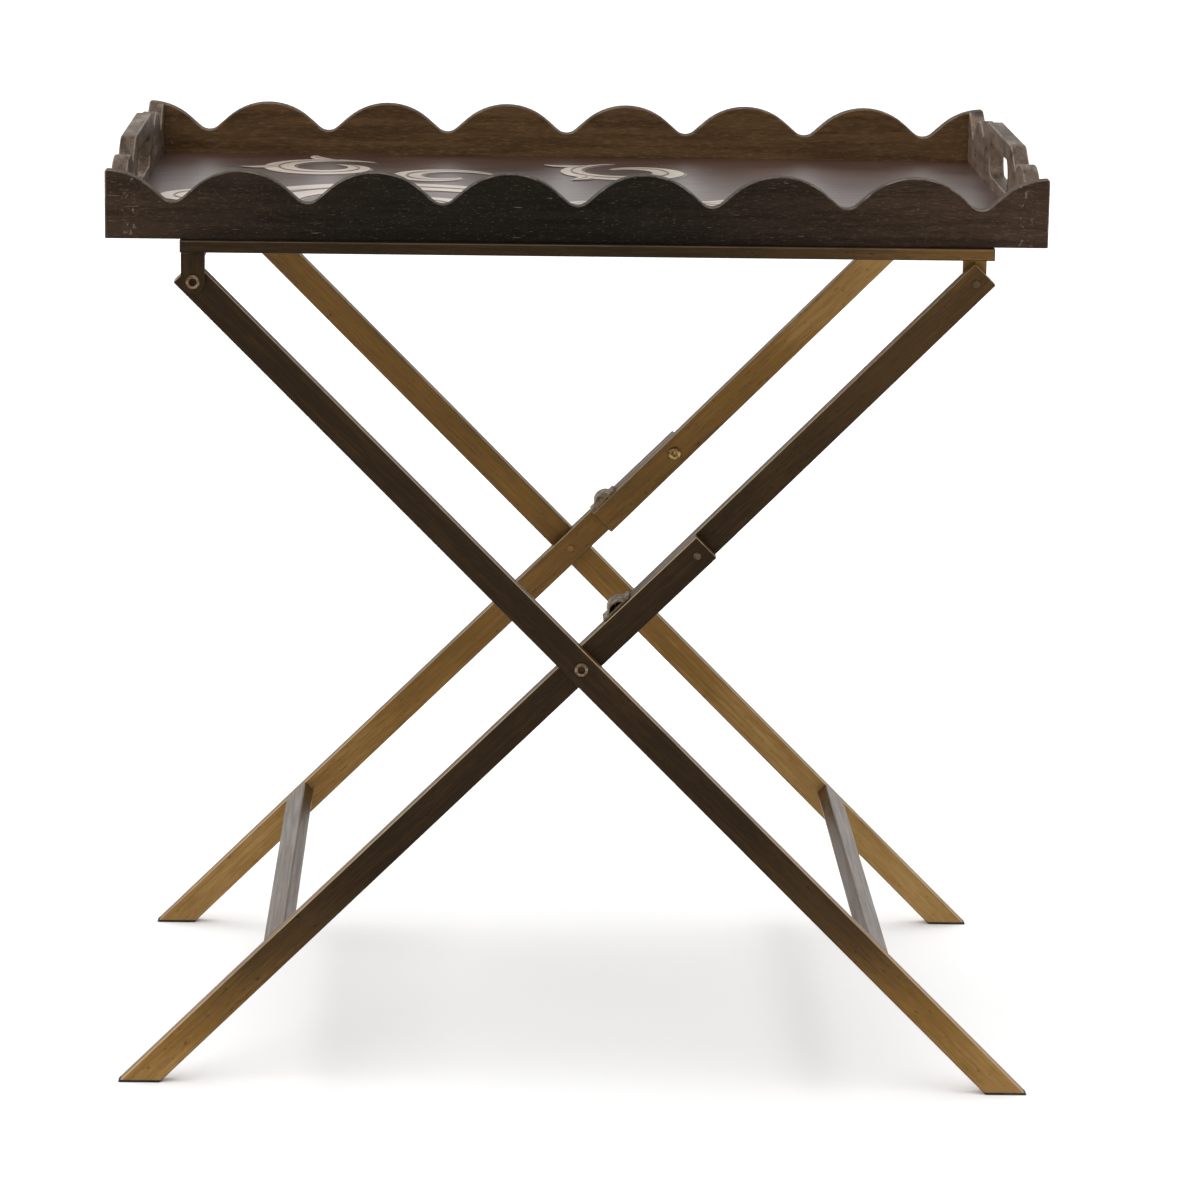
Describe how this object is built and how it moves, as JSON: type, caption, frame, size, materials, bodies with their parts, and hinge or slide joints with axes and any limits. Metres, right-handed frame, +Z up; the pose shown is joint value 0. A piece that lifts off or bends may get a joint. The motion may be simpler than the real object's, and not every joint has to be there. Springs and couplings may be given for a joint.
{
  "type": "folding tray table",
  "caption": "Side table: a lobed wooden tray with hand-holds rests on a stand whose crossed legs fold flat at over-centre elbows.",
  "frame": {"origin": "on the floor, midway between the front and rear legs, under the bolts at the crossing of the legs", "axes": "+X runs along the tray towards the side with the upper links, +Y runs from the front to the back, +Z points up"},
  "size_m": [0.7176, 0.498, 0.728],
  "materials": {
    "dark_wood": "dark stained, open grain, worn edges",
    "printed_board": "painted pattern under satin lacquer",
    "bronzed_wood": "dark bronze paint, satin",
    "gilt_wood": "antique gold over dark brown, brushed",
    "dowel_wood": "bare",
    "bronzed_steel": "antique bronze, satin",
    "aged_brass": "aged",
    "foot_pad": "matte"
  },
  "bodies": {
    "stand_top": {"bracket_legs_front": "bronzed_steel", "bracket_legs_rear": "bronzed_steel", "bracket_links_front": "bronzed_steel", "bracket_links_rear": "bronzed_steel", "bracket_screws": "aged_brass", "bracket_washers": "aged_brass", "cross_rail_left": "bronzed_wood", "cross_rail_right": "bronzed_wood", "frame_dowels": "dowel_wood", "pivot_bolts_legs": "aged_brass", "pivot_bolts_links": "aged_brass", "rail_front": "bronzed_wood", "rail_rear": "bronzed_wood"},
    "tray": {"tray_base": "printed_board", "tray_corner_dowels": "dowel_wood", "tray_end_left": "dark_wood", "tray_end_right": "dark_wood", "tray_panel_front": "dark_wood", "tray_panel_rear": "dark_wood"},
    "main_legs": {"centre_bolts": "aged_brass", "centre_washers": "aged_brass", "main_foot_front": "foot_pad", "main_foot_rear": "foot_pad", "main_leg_front": "gilt_wood", "main_leg_rear": "gilt_wood", "main_stretcher": "gilt_wood", "main_stretcher_dowels": "dowel_wood"},
    "lower_legs": {"elbow_pins": "aged_brass", "lower_foot_front": "foot_pad", "lower_foot_rear": "foot_pad", "lower_leg_front": "gilt_wood", "lower_leg_rear": "gilt_wood", "lower_stretcher": "gilt_wood", "lower_stretcher_dowels": "dowel_wood"},
    "upper_link_front": {"upper_link_front": "gilt_wood", "stop_tab_front": "bronzed_steel", "stop_screw_front": "aged_brass", "elbow_bolt_front": "aged_brass", "elbow_washer_front": "aged_brass"},
    "upper_link_rear": {"upper_link_rear": "gilt_wood", "stop_tab_rear": "bronzed_steel", "stop_screw_rear": "aged_brass", "elbow_bolt_rear": "aged_brass", "elbow_washer_rear": "aged_brass"}
  },
  "joints": [
    {"name": "tray_lift", "type": "slide", "parent": "stand_top", "child": "tray", "axis": [0, 0, 1], "range_m": [0, 0.12]},
    {"name": "fold", "type": "hinge", "parent": "stand_top", "child": "main_legs", "pos_m": [-0.2967, 0, 0.6376], "axis": [0, -1, 0], "range_deg": [0, 43]},
    {"name": "fold_centre", "type": "hinge", "parent": "main_legs", "child": "lower_legs", "pos_m": [0, 0, 0.3397], "axis": [0, -1, 0], "range_deg": [0, 88]},
    {"name": "fold_link_front", "type": "hinge", "parent": "stand_top", "child": "upper_link_front", "pos_m": [0.2967, -0.2075, 0.6376], "axis": [0, -1, 0], "range_deg": [-44.2, 0]},
    {"name": "fold_link_rear", "type": "hinge", "parent": "stand_top", "child": "upper_link_rear", "pos_m": [0.2967, 0.2075, 0.6376], "axis": [0, -1, 0], "range_deg": [-44.2, 0]}
  ],
  "couplings": [
    {"joint": "fold_centre", "follows": "fold", "ratio": 2.0448},
    {"joint": "fold_link_front", "follows": "fold", "ratio": -1.025},
    {"joint": "fold_link_rear", "follows": "fold", "ratio": -1.025}
  ]
}
